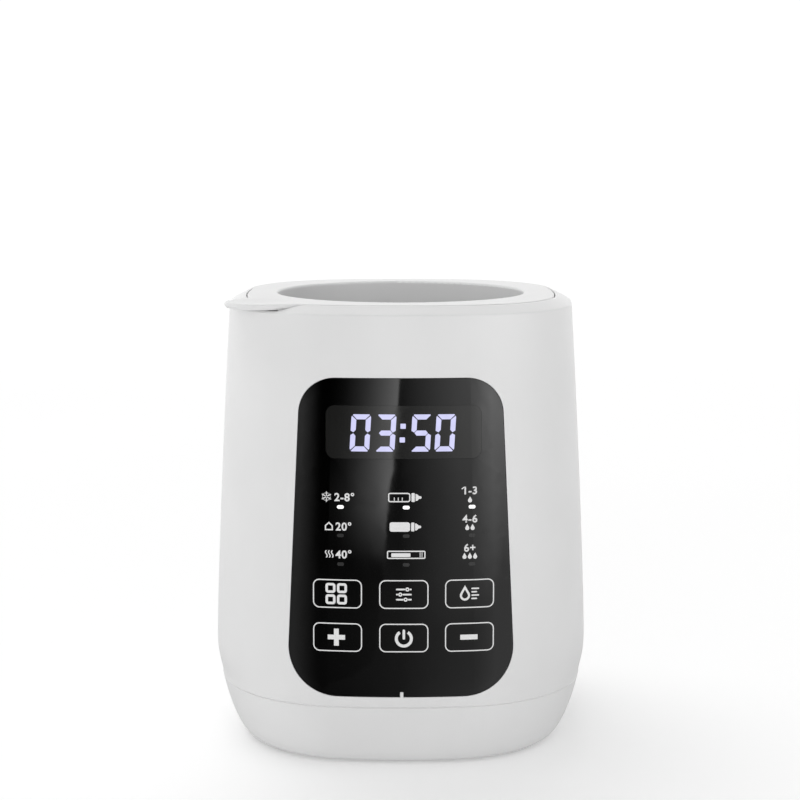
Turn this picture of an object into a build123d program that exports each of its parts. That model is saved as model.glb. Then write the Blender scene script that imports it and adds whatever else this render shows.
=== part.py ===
from build123d import *
import math
import os

# Bottle warmer with a lift-out basket. Millimetres, +Z up, front towards -Y.
# The origin is the centre of the footprint, on the surface that the feet stand on.

# ---------------------------------------------------------------- driving dimensions
WIDTH = 136.0  # widest, both side to side and front to back
HEIGHT = 160.0  # up to the basket's flange
FOOT_GAP = 1.0  # the feet hold the base this far off the table
FOOTPRINT = 114.0  # width of the flat underside
BULGE_Z = 36.5  # height of the widest section
SEAM_Z = 22.9  # joint line between the housing and the base
SHOULDER_Z = 157.2  # lower edge of the rim's chamfer
SHOULDER_WIDTH = 124.0
LOWER_CURVE = 1.5  # exponent of the rounded lower body
UPPER_CURVE = 1.25  # exponent of the taper above the bulge
LOFT_STEP = 6.7  # distance between the body's sections
SIDE_BOW = 3.0  # side radius of the plan, in half widths
CORNER = 0.7  # corner radius of the plan, in half widths
WALL = 2.6
SEAM_BEVEL = 0.35

FLANGE_WIDTH = 111.6  # the basket's flange, which fills the rim
FLANGE_T = 2.0
RIM_GAP = 0.35  # between the flange and the rim round it
WELL_R = 45.0  # inside the basket
BASKET_WALL = 1.8
BASKET_BOTTOM_Z = 54.0
TANK_R = 49.2  # inside the water tank
TANK_WALL = 1.6
TANK_BOTTOM_Z = 43.5

PANEL_TOP_Z = 136.1
PANEL_BOTTOM_Z = 27.0
PANEL_TOP_HALF = 33.9
PANEL_BOTTOM_HALF = 39.1
PANEL_TOP_R = 12.4
PANEL_BOTTOM_R = 17.0
PANEL_T = 1.7
SEAL_T = 0.3
PANEL_GAP = 0.2
LEDGE_T = 2.5

WINDOW = (52.4, 17.9)  # display window, width and height
WINDOW_X = 0.9
WINDOW_Z = 118.05
WINDOW_R = 3.0
DIGIT_X = (-13.6, -5.1, 6.8, 14.9)
KEY_X = (-21.5, 1.0, 23.3)
KEY_Z = (63.0, 48.0)
LAMP_X = (-20.4, 1.8, 24.0)
LAMP_Z = (92.7, 83.0, 73.2)

GLAND_Z = 37.0
GLAND_SEAT = 66.1  # the gland's outer flange sits in a recess this far behind the axis
GLAND_WALL = 4.5  # thickness of the pad that it grips
LEAD_R = 3.4  # bore of the gland, for the mains lead

# ---------------------------------------------------------------- derived dimensions
HALF = WIDTH / 2
DECK_TOP = HEIGHT - FLANGE_T
DECK_BOTTOM = DECK_TOP - WALL
RIM_HALF = FLANGE_WIDTH / 2 + RIM_GAP
CREST_Z = HEIGHT - 0.3  # top of the rim, a little below the flange
BASE_WALL = 2.4
FLOOR_TOP = FOOT_GAP + BASE_WALL
CORNER_SITE = 37.0  # x and y of each corner screw and foot
TANK_SITE = 41.5  # x and y of each tank fixing
LAP = 0.5  # shapes that are joined overlap this far
CUT = 1.0  # cutting shapes overrun this far
TINY = 0.01  # tolerance for picking edges and corners

# the plan's side and corner arcs meet tangentially at this centre and angle
_BOW = SIDE_BOW - 1
CORNER_AT = (math.sqrt(4 * _BOW**2 - 8 * (_BOW**2 - (SIDE_BOW - CORNER) ** 2)) - 2 * _BOW) / 4
SIDE_ANGLE = math.degrees(math.atan2(CORNER_AT, CORNER_AT + _BOW))

nodes = {}


# ---------------------------------------------------------------- shape helpers
def plan(half, z=0.0):
    """One level section: a square with bowed sides and round corners."""
    side = CenterArc((-_BOW * half, 0), SIDE_BOW * half, -SIDE_ANGLE, 2 * SIDE_ANGLE)
    centre = CORNER_AT * half
    corner = CenterArc((centre, centre), CORNER * half, SIDE_ANGLE, 90 - 2 * SIDE_ANGLE)
    edges = [Rot(0, 0, 90 * turn) * edge for turn in range(4) for edge in (side, corner)]
    return Pos(0, 0, z) * make_face(edges)


def plan_depth(x, half):
    """How far the section's side stands from the axis at a place x along it."""
    if abs(x) < SIDE_BOW * half * math.sin(math.radians(SIDE_ANGLE)):
        return math.sqrt((SIDE_BOW * half) ** 2 - x * x) - _BOW * half
    centre = CORNER_AT * half
    return centre + math.sqrt((CORNER * half) ** 2 - (abs(x) - centre) ** 2)


def half_width(z):
    """Half the body's width at a height: rounded under the bulge, a soft taper above."""
    if z < BULGE_Z:
        drop = min(1.0, (BULGE_Z - z) / (BULGE_Z - FOOT_GAP))
        swell = (1 - drop**LOWER_CURVE) ** (1 / LOWER_CURVE)
        return FOOTPRINT / 2 + (WIDTH - FOOTPRINT) / 2 * swell
    rise = (z - BULGE_Z) / (SHOULDER_Z - BULGE_Z)
    return HALF - (WIDTH - SHOULDER_WIDTH) / 2 * rise**UPPER_CURVE


def evenly(low, high, steps):
    """Heights at equal distances, ends included."""
    return [low + (high - low) * step / steps for step in range(steps + 1)]


def body_loft(low, high, inset=0.0):
    """The body's outside from one height to another, or a skin that far inside it."""
    steps = max(3, round((high - low) / LOFT_STEP))
    return loft([plan(half_width(z) - inset, z) for z in evenly(low, high, steps)])


def cone(low_half, low_z, high_half, high_z):
    """A straight-sided band of the plan, for chamfers and prisms."""
    return loft([plan(low_half, low_z), plan(high_half, high_z)], ruled=True)


def prism(half, low, high):
    """A straight block of the plan."""
    return extrude(plan(half, low), high - low)


def tube(outer, inner, low, high):
    """An upright ring round the axis."""
    height = high - low
    ring = Circle(outer) - Circle(inner)
    return Pos(0, 0, low) * extrude(ring, height)


def rod(radius, x, y, low, high):
    """An upright round bar."""
    return Pos(x, y, low) * extrude(Circle(radius), high - low)


def block(x, y, low, size_x, size_y, size_z, edge=0.0):
    """An upright block that stands on a height, with its upright edges rounded."""
    shape = RectangleRounded(size_x, size_y, edge) if edge else Rectangle(size_x, size_y)
    return Pos(x, y, low) * extrude(shape, size_z)


def front_prism(face):
    """Carries an outline drawn in X and Z through the front of the body."""
    return extrude(Plane.XZ * face, HALF + 10 * CUT)


def four_corners(site):
    """The four places at plus and minus one distance in x and y."""
    return [(sx * site, sy * site) for sx in (-1, 1) for sy in (-1, 1)]


def upper_edges(shape):
    return shape.edges().group_by(Axis.Z)[-1]


def lower_edges(shape):
    return shape.edges().group_by(Axis.Z)[0]


def lead(points, radius, wire):
    """A wire of one thickness along runs with rounded corners."""
    path = FilletPolyline(*points, radius=radius)
    start = Plane(origin=path @ 0, z_dir=path % 0)
    return sweep(start * Circle(wire), path=path)


# ---------------------------------------------------------------- outlines on the front
def panel_outline(grow=0.0):
    """The panel seen from the front: a tall trapezoid with round corners."""
    lean = (PANEL_BOTTOM_HALF - PANEL_TOP_HALF) / (PANEL_TOP_Z - PANEL_BOTTOM_Z)
    top = PANEL_TOP_Z + grow
    bottom = PANEL_BOTTOM_Z - grow
    top_half = PANEL_TOP_HALF + grow * (1 - lean)
    bottom_half = PANEL_BOTTOM_HALF + grow * (1 + lean)
    corners = [(-bottom_half, bottom), (bottom_half, bottom), (top_half, top), (-top_half, top)]
    shape = make_face(Polyline(*corners, close=True))
    low = shape.vertices().group_by(Axis.Y)[0]
    shape = fillet(low, PANEL_BOTTOM_R + grow)
    high = [v for v in shape.vertices() if v.Y > top - TINY]
    return fillet(high, PANEL_TOP_R + grow)


TONGUE_X = 0.3
TONGUE_WIDTH = 1.4
TONGUE_HEIGHT = 2.6
TONGUE_REACH = 1.9  # how far it stands above the panel's lower edge


def panel_key(slack):
    """The short upright tongue of the housing that centres the panel's lower edge."""
    middle = PANEL_BOTTOM_Z + TONGUE_REACH - TONGUE_HEIGHT / 2 - slack
    return Pos(TONGUE_X, middle) * Rectangle(TONGUE_WIDTH - 2 * slack, TONGUE_HEIGHT)


def window_outline(grow=0.0):
    wide, tall = WINDOW
    shape = RectangleRounded(wide + 2 * grow, tall + 2 * grow, WINDOW_R + grow)
    return Pos(WINDOW_X, WINDOW_Z) * shape


def front_skin(outer_inset, inner_inset):
    """The layer between two insets of the housing's surface."""
    low = SEAM_Z + SEAM_BEVEL
    return body_loft(low, SHOULDER_Z, outer_inset) - body_loft(low, SHOULDER_Z, inner_inset)


BOARD_TILT = 2.78  # the display board leans with the front
BOARD_FRONT = 56.1  # its distance from the axis at the window's height
BOARD_T = 1.6
BOARD_SIZE = (62.0, 88.0)
BOARD_MIDDLE = -32.0  # below the window's middle
BOARD_HOLES = [(x, v) for x in (-29.3, 29.3) for v in (-72.0, 8.0)]
BOARD_BOSS = (2.5, 2.4)  # radius and height
BOARD_PILOT = (1.0, 1.8)  # radius and depth


def on_board(shape):
    """From a flat drawing, +Z forward and Y up from the window's middle, to the board."""
    place = Location((0, -BOARD_FRONT, WINDOW_Z), (90 - BOARD_TILT, 0, 0))
    return place * shape


def board_gap(x, z):
    """Room between the board's front and the panel's back."""
    back = plan_depth(x, half_width(z)) - PANEL_T
    return back - BOARD_FRONT - (WINDOW_Z - z) * math.tan(math.radians(BOARD_TILT))


# ---------------------------------------------------------------- tab and basket
TAB_AT = (-48.3, -41.2)  # the round finger tab, between the front and the left
TAB_R = 12.4
DISH_R = 10.6
DISH_DEPTH = 0.6
TAB_BLEND_FRONT = 30.0  # radius of the hollow curve from the tab into the front edge
TAB_BLEND_SIDE = 12.0


def flange_outline(grow=0.0):
    """The flange from above: the plan with the round tab blended into its corner."""
    half = FLANGE_WIDTH / 2 + grow
    shape = plan(half) + Pos(*TAB_AT) * Circle(TAB_R + grow)
    joints = [v for v in shape.vertices() if abs(math.dist((v.X, v.Y), TAB_AT) - TAB_R - grow) < TINY]
    front, side = sorted(joints, key=lambda v: v.Y)
    front_at = (front.X, front.Y)
    shape = fillet(side, TAB_BLEND_SIDE)
    front = min(shape.vertices(), key=lambda v: math.dist((v.X, v.Y), front_at))
    return fillet(front, TAB_BLEND_FRONT)


FLANGE_ROUND = 0.6
FLANGE_CHAMFER = 0.8
LIP_ROUND = 0.9
BASKET_FLOOR_T = 2.2
SLOTS = 10
SLOT_WIDTH = 7.0
SLOT_LOW = 66.0
SLOT_HIGH = 132.0
CENTRE_HOLE_R = 7.0
DRAINS = 8
DRAIN = (26.0, 8.0)  # length and width
DRAIN_R = 27.0


def make_basket():
    flange = Pos(0, 0, DECK_TOP) * extrude(flange_outline(), FLANGE_T)
    flange = fillet(upper_edges(flange), FLANGE_ROUND)
    flange = chamfer(lower_edges(flange), FLANGE_CHAMFER)
    dish_ball = (DISH_R**2 + DISH_DEPTH**2) / (2 * DISH_DEPTH)
    flange -= Pos(*TAB_AT, HEIGHT + dish_ball - DISH_DEPTH) * Sphere(dish_ball)
    floor_top = BASKET_BOTTOM_Z + BASKET_FLOOR_T
    basket = flange + rod(WELL_R + BASKET_WALL, 0, 0, BASKET_BOTTOM_Z, DECK_TOP + LAP)
    basket -= rod(WELL_R, 0, 0, floor_top, HEIGHT + CUT)
    circles = basket.edges().filter_by(GeomType.CIRCLE)
    lip = [e for e in circles if abs(e.radius - WELL_R) < TINY and e.center().Z > DECK_TOP]
    basket = fillet(lip, LIP_ROUND)
    shape = Plane.YZ * SlotOverall(SLOT_HIGH - SLOT_LOW, SLOT_WIDTH, rotation=90)
    reach = WELL_R - 3 * CUT
    slot = Pos(reach, 0, (SLOT_LOW + SLOT_HIGH) / 2) * extrude(shape, WELL_R - reach + BASKET_WALL + CUT)
    for step in range(SLOTS):
        basket -= Rot(0, 0, 360 * (step + 0.5) / SLOTS) * slot
    basket -= rod(CENTRE_HOLE_R, 0, 0, BASKET_BOTTOM_Z - CUT, floor_top + CUT)
    depth = BASKET_FLOOR_T + 2 * CUT
    drain = Pos(DRAIN_R, 0, BASKET_BOTTOM_Z - CUT) * extrude(SlotOverall(*DRAIN), depth)
    for step in range(DRAINS):
        basket -= Rot(0, 0, 360 * step / DRAINS) * drain
    return basket


# ---------------------------------------------------------------- shells
CREST_LAND = 0.9  # flat width of the rim's crest
BROW_ROUND = 0.8
CREST_ROUND = 0.5
LEDGE_REACH = 1.2  # the ledge behind the panel passes its outline by this much
OPENING = (55.0, 92.0, 4.0)  # width, height and corners of the hole behind the panel
OPENING_Z = 84.0
OPENING_SPAN = (30.0, 150.0)
TANK_BOSS_R = 4.0
TANK_BOSS_Z = 142.0  # lower end of the bosses for the tank's screws
TANK_PILOT_Z = 152.0
GLAND_PAD_R = 10.5
GLAND_HOLE_R = 6.0
GLAND_RECESS_R = 8.6
PILOT_R = 1.5  # of the base's and the tank's screws


def make_housing():
    low = SEAM_Z + SEAM_BEVEL
    shell = cone(half_width(SEAM_Z) - SEAM_BEVEL, SEAM_Z, half_width(low), low)
    shell += body_loft(low, SHOULDER_Z)
    shell += cone(SHOULDER_WIDTH / 2, SHOULDER_Z, RIM_HALF + CREST_LAND, CREST_Z)
    brow = [e for e in shell.edges() if abs(e.center().Z - SHOULDER_Z) < TINY]
    shell = fillet(brow, BROW_ROUND)
    crest = [e for e in shell.edges() if abs(e.center().Z - CREST_Z) < TINY]
    shell = fillet(crest, CREST_ROUND)
    shell -= body_loft(SEAM_Z - 0.5, DECK_BOTTOM, WALL)
    shell = fit_panel(shell)
    shell -= Pos(0, 0, DECK_TOP) * extrude(flange_outline(RIM_GAP), 5 * CUT)
    shell -= rod(TAB_R + RIM_GAP, *TAB_AT, DECK_TOP - 0.4, HEIGHT + CUT)
    shell -= rod(TANK_R + 0.8, 0, 0, DECK_BOTTOM - CUT, DECK_TOP + CUT)
    for x, y in four_corners(CORNER_SITE):
        shell += corner_post(x, y)
    for x, y in four_corners(TANK_SITE):
        boss = rod(TANK_BOSS_R, x, y, TANK_BOSS_Z, DECK_BOTTOM + LAP)
        shell += boss - rod(PILOT_R, x, y, TANK_BOSS_Z - CUT, TANK_PILOT_Z)
    shell += rear_rod(GLAND_PAD_R, GLAND_SEAT - GLAND_WALL, GLAND_SEAT + LAP)
    shell -= rear_rod(GLAND_HOLE_R, GLAND_SEAT - GLAND_WALL - CUT, GLAND_SEAT + CUT)
    shell -= rear_rod(GLAND_RECESS_R, GLAND_SEAT, HALF + 2 * CUT)
    return shell


def fit_panel(shell):
    """The recess, ledge, tongue and board bosses behind the front panel."""
    seat = PANEL_T + SEAL_T
    shell += front_skin(seat, seat + LEDGE_T) & front_prism(panel_outline(LEDGE_REACH))
    shell -= front_skin(-2 * CUT, seat) & front_prism(panel_outline(PANEL_GAP))
    shell += front_skin(0.1, PANEL_T - 0.1) & front_prism(panel_key(0.15))
    opening = Pos(0, OPENING_Z) * RectangleRounded(*OPENING)
    shell -= front_prism(opening) & prism(HALF, *OPENING_SPAN)
    boss_r, boss_height = BOARD_BOSS
    pilot_r, pilot_depth = BOARD_PILOT
    for x, v in BOARD_HOLES:
        shell += on_board(Pos(x, v, 0) * extrude(Circle(boss_r), boss_height))
        shell -= on_board(Pos(x, v, 0) * extrude(Circle(pilot_r), pilot_depth))
    return shell


def rear_rod(radius, start, end):
    """A rod along +Y at the gland's height."""
    return Pos(0, start, GLAND_Z) * Rot(-90, 0, 0) * extrude(Circle(radius), end - start)


POST_LOW = 14.0
POST_HIGH = 40.0
POST_R = 4.2
PILOT_HIGH = 30.0
WEB = (19.0, 2.0, 12.0)  # length, thickness and height of a post's web
WEB_AT = 12.5  # from the post to the web's middle
LIP_TOP = SEAM_Z + 2.6  # the base's lip stands inside the housing


def corner_post(x, y):
    """A screw post with a web that ties it to the corner of the housing."""
    post = rod(POST_R, x, y, POST_LOW, POST_HIGH) - rod(PILOT_R, x, y, POST_LOW - CUT, PILOT_HIGH)
    length, thickness, height = WEB
    web = block(math.hypot(x, y) + WEB_AT, 0, POST_HIGH - height, length, thickness, height)
    web = Rot(0, 0, math.degrees(math.atan2(y, x))) * web
    return post + (web & body_loft(27.0, 41.0, 1.0))


BASE_STEP_Z = 18.0  # above this the base's wall thickens inwards to carry the lip
BASE_ROUND = 1.5
SCREW_WELL_R = 3.6
SCREW_SEAT_Z = 11.5
SCREW_HOLE_R = 1.8
SCREW_LENGTH = 15.0
BASE_BOSS_R = 5.6
FOOT_R = 7.6
FOOT_SEAT_Z = FOOT_GAP + 1.5  # the feet are let into the base
VENTS = 6
VENT = (24.0, 2.4)  # length and width
VENT_PITCH = 8.0
VENT_Y = 20.0


def make_base():
    bevel = SEAM_Z - SEAM_BEVEL
    shell = loft([plan(half_width(z), z) for z in evenly(FOOT_GAP, bevel, 7)])
    shell = fillet(lower_edges(shell), BASE_ROUND)
    shell += cone(half_width(bevel), bevel, half_width(SEAM_Z) - SEAM_BEVEL, SEAM_Z)
    shell -= loft([plan(half_width(z) - BASE_WALL, z) for z in evenly(FLOOR_TOP, BASE_STEP_Z, 5)])
    mouth = half_width(SEAM_Z) - WALL - 2.0
    shell -= cone(half_width(BASE_STEP_Z) - BASE_WALL, BASE_STEP_Z, mouth, SEAM_Z + 0.1)
    lip = body_loft(SEAM_Z - CUT, LIP_TOP, WALL + 0.4)
    shell += lip - body_loft(SEAM_Z - 2 * CUT, LIP_TOP + CUT, WALL + 2.0)
    for x, y in four_corners(CORNER_SITE):
        shell += rod(BASE_BOSS_R, x, y, FOOT_GAP, POST_LOW)
        shell -= rod(SCREW_WELL_R, x, y, 0, SCREW_SEAT_Z)
        shell -= rod(SCREW_HOLE_R, x, y, SCREW_SEAT_Z - LAP, POST_LOW + CUT)
        shell -= rod(FOOT_R + 0.2, x, y, 0, FOOT_SEAT_Z)
    for x, y in BOARD_POSTS:
        post = rod(BOARD_POST_R, x, y, FLOOR_TOP - LAP, PCB_Z)
        shell += post - rod(BOARD_SCREW_R, x, y, 5.0, PCB_Z + CUT)
    for step in range(VENTS):
        x = VENT_PITCH * (step - (VENTS - 1) / 2)
        shell -= Pos(x, VENT_Y, 0) * extrude(SlotOverall(*VENT, rotation=90), FLOOR_TOP + CUT)
    return shell


def make_feet():
    foot = rod(FOOT_R, 0, 0, 0, FOOT_SEAT_Z)
    foot = fillet(lower_edges(foot), 0.5)
    return [Pos(x, y, 0) * foot for x, y in four_corners(CORNER_SITE)]


def screw(head_r, head_h, shank_r, length):
    """A pan-head screw that points up, its head's seat at zero, with a cross recess."""
    head = rod(head_r, 0, 0, -head_h, 0)
    head = fillet(lower_edges(head), head_h * 0.4)
    arm = head_r * 1.2
    cross = Rectangle(arm, 0.6) + Rectangle(0.6, arm)
    head -= Pos(0, 0, -head_h - 0.1) * extrude(cross, head_h * 0.5)
    return head + rod(shank_r, 0, 0, -0.2, length)


def make_base_screws():
    shape = screw(3.1, 2.2, PILOT_R, SCREW_LENGTH)
    return [Pos(x, y, SCREW_SEAT_Z) * shape for x, y in four_corners(CORNER_SITE)]


# ---------------------------------------------------------------- front panel and display
MODULE = (40.0, 17.0, 1.0)  # width, height and corners
MODULE_T = 3.6
BAR = (5.4, 1.3)  # one light slot of a digit
BAR_SPACING = 6.0
BAR_DEPTH = 0.6
LIGHT_BOX_WIDTH = 50.4
LIGHT_BOX_T = 3.4
LIGHT_BOX_MARGIN = 3.2
LAMP_CELL = (4.4, 3.0, 0.5)
PAD_R = 3.5
PAD_SLACK = 0.3
HEADER = (15.0, 6.0)
HEADER_T = 3.6
HEADER_AT = -66.0  # below the window's middle


def make_panel():
    skin = front_skin(0.0, PANEL_T) & front_prism(panel_outline())
    skin -= front_prism(window_outline(0.05))
    return skin - front_prism(panel_key(0.0))


def make_window():
    return front_skin(0.08, PANEL_T) & front_prism(window_outline())


def make_panel_seal():
    width, height, corner = OPENING
    hole = Pos(0, OPENING_Z) * RectangleRounded(width + 2, height + 2, corner + 1)
    frame = front_skin(PANEL_T, PANEL_T + SEAL_T) & front_prism(panel_outline(-0.8))
    return frame - front_prism(hole)


def make_display_board():
    board = extrude(Pos(0, BOARD_MIDDLE) * RectangleRounded(*BOARD_SIZE, 2.0), -BOARD_T)
    for x, v in BOARD_HOLES:
        board -= extrude(Pos(x, v) * Circle(1.3), -BOARD_T)
    return on_board(board)


def make_board_screws():
    shape = screw(1.9, 1.2, 0.95, 3.2)
    return [on_board(Pos(x, v, -BOARD_T) * shape) for x, v in BOARD_HOLES]


def make_display_module():
    body = Pos(WINDOW_X, 0, 0) * extrude(RectangleRounded(*MODULE), MODULE_T)
    for x in DIGIT_X:
        body -= Pos(x, 0, MODULE_T - BAR_DEPTH) * extrude(figure_eight(), CUT)
    return on_board(body)


def figure_eight():
    """The seven light slots of one digit."""
    across = SlotOverall(*BAR)
    down = SlotOverall(*BAR, rotation=90)
    half = BAR_SPACING / 2
    slots = [Pos(0, v) * across for v in (-BAR_SPACING, 0, BAR_SPACING)]
    slots += [Pos(x, v) * down for x in (-half, half) for v in (-half, half)]
    return Sketch() + slots


def lamp_places():
    return [(x, z - WINDOW_Z) for x in LAMP_X for z in LAMP_Z]


def make_light_box():
    low = LAMP_Z[-1] - LIGHT_BOX_MARGIN - WINDOW_Z
    high = LAMP_Z[0] + LIGHT_BOX_MARGIN - WINDOW_Z
    outline = Pos(LAMP_X[1], (low + high) / 2) * RectangleRounded(LIGHT_BOX_WIDTH, high - low, 1.0)
    box = extrude(outline, LIGHT_BOX_T)
    for x, v in lamp_places():
        box -= Pos(x, v, 0) * extrude(RectangleRounded(*LAMP_CELL), LIGHT_BOX_T)
    return on_board(box)


def make_lamps():
    lamp = extrude(Rectangle(3.2, 1.8), 0.8) + extrude(RectangleRounded(2.6, 1.6, 0.3), 1.4)
    return [on_board(Pos(x, v, 0) * lamp) for x, v in lamp_places()]


def make_touch_pads():
    """Conductive foam columns that carry each key's field to the panel's back."""
    pads = []
    for x in KEY_X:
        for z in KEY_Z:
            pad = extrude(Circle(PAD_R), board_gap(abs(x) + PAD_R, z) - PAD_SLACK)
            pad = fillet(upper_edges(pad), 0.4)
            pads.append(on_board(Pos(x, z - WINDOW_Z, 0) * pad))
    return pads


def make_display_header():
    return on_board(Pos(0, HEADER_AT, -BOARD_T - HEADER_T) * extrude(Rectangle(*HEADER), HEADER_T))


# ---------------------------------------------------------------- tank and heater
TANK_TOP_Z = 154.6
TANK_RIM = (3.6, 2.2)  # width and thickness
TANK_FLOOR_T = 2.0
TANK_FLOOR_R = 42.0  # hole in the tank's floor, closed by the heating plate
EAR_Z = 139.5
EAR_T = TANK_BOSS_Z - EAR_Z
EAR_R = 4.5
PLATE_BOTTOM = 46.3
PLATE_T = 3.0
PLATE_R = 48.6
STUD_RING = 34.0
STUD_ANGLES = (90, 210, 330)
STUD_R = 2.0
STUD_LOW = 34.0
SEAL_R = 43.0  # inside of the plate's seal
STRAP_Z = 40.5
STRAP_T = 1.0
STRAP_SITES = (-14.0, 14.0)
PROBE_X = 13.0
PROBE_Z = 43.9
PROBE_R = 2.15
PROBE_LENGTH = 17.0
POCKET = (6.2, 14.0)
POCKET_LOW = 41.6
ELEMENT_R = 24.0
ELEMENT = (8.0, 8.0, 1.6)
ELEMENT_ANGLES = (200, 250)  # of the two cold ends
PIN_LOW = 30.5


def ring_places(radius, angles):
    turns = [math.radians(angle) for angle in angles]
    return [(radius * math.cos(turn), radius * math.sin(turn)) for turn in turns]


STUDS = ring_places(STUD_RING, STUD_ANGLES)
HEATER_PINS = ring_places(ELEMENT_R, ELEMENT_ANGLES)


def make_tank():
    outer = TANK_R + TANK_WALL
    floor_top = TANK_BOTTOM_Z + TANK_FLOOR_T
    rim_width, rim_t = TANK_RIM
    tank = tube(outer, TANK_R, TANK_BOTTOM_Z, TANK_TOP_Z)
    tank += tube(outer + rim_width, TANK_R, TANK_TOP_Z - rim_t, TANK_TOP_Z)
    tank += tube(outer, TANK_FLOOR_R, TANK_BOTTOM_Z, floor_top)
    for x, y in four_corners(TANK_SITE):
        arm = block(math.hypot(x, y) - 5, 0, EAR_Z, 10, 2 * EAR_R, EAR_T)
        arm = Rot(0, 0, math.degrees(math.atan2(y, x))) * arm
        ear = arm + rod(EAR_R, x, y, EAR_Z, TANK_BOSS_Z)
        tank += ear - rod(1.8, x, y, EAR_Z - LAP, TANK_BOSS_Z + CUT)
    return tank - rod(TANK_R, 0, 0, floor_top, TANK_TOP_Z + 0.4)


def make_tank_gasket():
    return tube(TANK_R + TANK_WALL + 3.5, TANK_R + 1.0, TANK_TOP_Z, DECK_BOTTOM)


def make_tank_screws():
    shape = screw(3.0, 2.0, PILOT_R, 11.0)
    return [Pos(x, y, EAR_Z) * shape for x, y in four_corners(TANK_SITE)]


def make_heating_plate():
    plate = rod(PLATE_R, 0, 0, PLATE_BOTTOM, PLATE_BOTTOM + PLATE_T)
    plate = fillet(upper_edges(plate), 0.8)
    top = PLATE_BOTTOM + LAP
    for x, y in STUDS:
        plate += rod(STUD_R, x, y, STUD_LOW, top)
    for y in STRAP_SITES:
        plate += rod(2.6, 0, y, STRAP_Z + STRAP_T, top) - rod(1.4, 0, y, STRAP_Z, 45.5)
    for x in (-PROBE_X, PROBE_X):
        pocket = block(x, 0, POCKET_LOW, *POCKET, top - POCKET_LOW)
        plate += pocket - Pos(x, 0, PROBE_Z) * Cylinder(PROBE_R + 0.05, 20.0, rotation=(90, 0, 0))
    return plate


def make_plate_seal():
    return tube(PLATE_R - 0.2, SEAL_R, TANK_BOTTOM_Z + TANK_FLOOR_T, PLATE_BOTTOM)


def make_heater_element():
    """A cast tube in an open ring, with a cold pin and an insulator at each end."""
    section = Pos(ELEMENT_R, PLATE_BOTTOM - ELEMENT[1] / 2) * RectangleRounded(*ELEMENT)
    element = Rot(0, 0, 245) * revolve(Plane.XZ * section, Axis.Z, 320)
    for x, y in HEATER_PINS:
        element += rod(1.6, x, y, PIN_LOW, 42.0) + rod(3.4, x, y, 36.0, 41.0)
    return element


def make_clamp_ring():
    ring = tube(47.5, 30.5, TANK_BOTTOM_Z - 2.0, TANK_BOTTOM_Z)
    for x, y in STUDS:
        ring -= rod(STUD_R + 0.3, x, y, TANK_BOTTOM_Z - 3.0, TANK_BOTTOM_Z + CUT)
    return ring


def make_clamp_nuts():
    height = 3.2
    nut = extrude(RegularPolygon(4.0, 6), height) - extrude(Circle(STUD_R + 0.05), height)
    return [Pos(x, y, TANK_BOTTOM_Z - 2.0 - height) * nut for x, y in STUDS]


def make_thermostat():
    body = rod(8.5, 0, 0, STRAP_Z + STRAP_T, PLATE_BOTTOM) + rod(6.0, 0, 0, 37.5, STRAP_Z + STRAP_T + 0.1)
    for x in (-3.2, 3.2):
        body += block(x, 0, 31.0, 0.8, 4.8, 7.0)
    return body


def make_strap():
    below = STRAP_Z - LAP
    above = STRAP_Z + STRAP_T + LAP
    strap = block(0, 0, STRAP_Z, 12.0, 35.0, STRAP_T, 3.0) + rod(10.0, 0, 0, STRAP_Z, STRAP_Z + STRAP_T)
    strap -= rod(6.4, 0, 0, below, above)
    for y in STRAP_SITES:
        strap -= rod(1.7, 0, y, below, above)
    return strap


def make_strap_screws():
    shape = screw(2.7, 1.8, 1.4, 4.5)
    return [Pos(0, y, STRAP_Z) * shape for y in STRAP_SITES]


def probe_rod(x):
    return Pos(x, 0, PROBE_Z) * Cylinder(PROBE_R, PROBE_LENGTH, rotation=(90, 0, 0))


# ---------------------------------------------------------------- power board
PCB = (60.0, 84.0)
PCB_Y = 2.0
PCB_Z = 10.0
PCB_T = 1.6
PCB_TOP = PCB_Z + PCB_T
BOARD_POSTS = [(x, y) for x in (-26.0, 26.0) for y in (-36.0, 40.0)]
BOARD_POST_R = 3.0
BOARD_SCREW_R = 1.2
RELAY_AT = (-17, 12)
TRANSFORMER_AT = (8, -8)
CAPACITOR_AT = (18, 12)
CAPACITOR = (6.3, 20.0)  # radius and height
FILM_AT = (14, 28)
FUSE_AT = (-17, 29)
FUSE_Z = PCB_TOP + 4.2
FUSE_R = 2.55
FUSE_LENGTH = 20.0
CLIP = (5.0, 7.2, 5.6)
TERMINAL_Y = 38.5
TERMINAL_X = (-7.0, 0.0, 7.0)
TERMINAL_SCREW_Z = PCB_TOP + 8.0
TAB_BLADE = (6.3, 0.8, 8.0)
SENSOR_HEADER_AT = (18, -30)
POWER_HEADER_AT = (0, -32)
HEADER_TOP = PCB_TOP + 8.0
BUZZER_AT = (-18, -26)
BUZZER = (6.0, 8.5)  # radius and height


def make_power_board():
    board = block(0, PCB_Y, PCB_Z, *PCB, PCB_T, 2.0)
    for x, y in BOARD_POSTS:
        board -= rod(1.6, x, y, PCB_Z - CUT, PCB_TOP + CUT)
    return board


def make_power_board_screws():
    shape = Rot(180, 0, 0) * screw(2.7, 1.8, BOARD_SCREW_R, 5.5)
    return [Pos(x, y, PCB_TOP) * shape for x, y in BOARD_POSTS]


def make_relay():
    case = block(*RELAY_AT, PCB_TOP, 19.0, 15.4, 15.4, 0.8)
    return fillet(upper_edges(case), 0.5)


def make_transformer_core():
    core = block(*TRANSFORMER_AT, PCB_TOP + 4.0, 22.0, 6.5, 13.5)
    core -= block(*TRANSFORMER_AT, PCB_TOP + 7.0, 15.0, 7.0, 7.5)
    return core + block(*TRANSFORMER_AT, PCB_TOP + 6.0, 5.0, 6.5, 10.0)


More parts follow.
